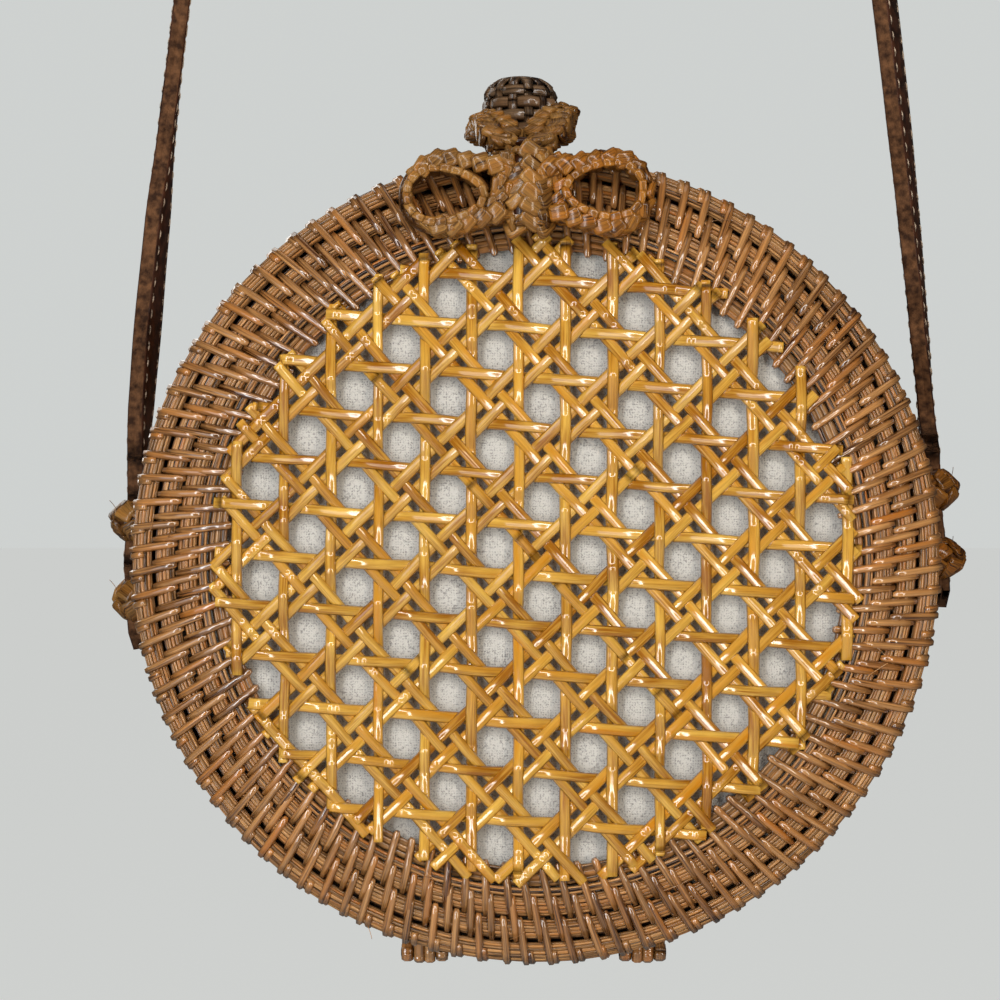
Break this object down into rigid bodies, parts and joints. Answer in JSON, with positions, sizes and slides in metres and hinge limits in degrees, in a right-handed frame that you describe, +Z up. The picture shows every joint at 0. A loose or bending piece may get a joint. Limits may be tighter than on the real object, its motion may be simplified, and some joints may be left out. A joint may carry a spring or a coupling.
{
  "type": "round rattan shoulder bag",
  "caption": "Round coiled-rattan shoulder bag with a cane-webbing front, a plaited bow and loop over a woven knob, a lashed bottom hinge and a leather strap.",
  "frame": {"origin": "underside of the strap at its highest point, where a hook or shoulder carries it", "axes": "+Z up along the hanging bag, +X to the right as seen from the front, +Y from the front panel to the back"},
  "size_m": [0.2208, 0.0901, 0.6636],
  "materials": {
    "coiled_rattan": "satin",
    "cane": "varnished",
    "plaited_rattan": "varnished",
    "dark_rattan": "satin",
    "cotton": "plain woven",
    "leather": "smooth"
  },
  "bodies": {
    "strap": {"strap_inner_ply": "leather", "strap_outer_ply": "leather"},
    "back_half": {"back_disc": "coiled_rattan", "back_wall": "coiled_rattan", "strap_loop_left_upper": "plaited_rattan", "strap_loop_left_lower": "plaited_rattan", "strap_loop_right_upper": "plaited_rattan", "strap_loop_right_lower": "plaited_rattan", "back_lashing_left": "plaited_rattan", "back_lashing_right": "plaited_rattan", "hinge_peg_left": "plaited_rattan", "hinge_peg_right": "plaited_rattan", "knob": "dark_rattan", "knob_stem": "dark_rattan", "back_lining_disc": "cotton", "back_lining_band": "cotton", "strap_end_left": "leather", "strap_end_right": "leather"},
    "front_half": {"front_rim_coils": "coiled_rattan", "front_rim_thin_coil": "coiled_rattan", "front_panel_ring": "cane", "front_wall": "coiled_rattan", "cane_rising_pairs": "cane", "cane_uprights": "cane", "cane_falling_pairs": "cane", "cane_levels": "cane", "front_lining_disc": "cotton", "front_lining_band": "cotton", "bow_knot": "plaited_rattan", "bow_left_loop": "plaited_rattan", "bow_right_loop": "plaited_rattan", "front_lashing_left": "plaited_rattan", "front_lashing_right": "plaited_rattan"},
    "closure": {"closing_loop": "plaited_rattan"}
  },
  "joints": [
    {"name": "strap_swing", "type": "hinge", "parent": "strap", "child": "back_half", "pos_m": [0, 0, -0.52454], "axis": [1, 0, 0], "range_deg": [-90, 90]},
    {"name": "lid_hinge", "type": "hinge", "parent": "back_half", "child": "front_half", "pos_m": [0, -0.0033, -0.65654], "axis": [1, 0, 0], "range_deg": [0, 80], "deforming": ["closing_loop"]},
    {"name": "closure_flip", "type": "hinge", "parent": "front_half", "child": "closure", "pos_m": [-0.0034, -0.0406, -0.45004], "axis": [1, 0, 0], "range_deg": [0, 100]}
  ]
}
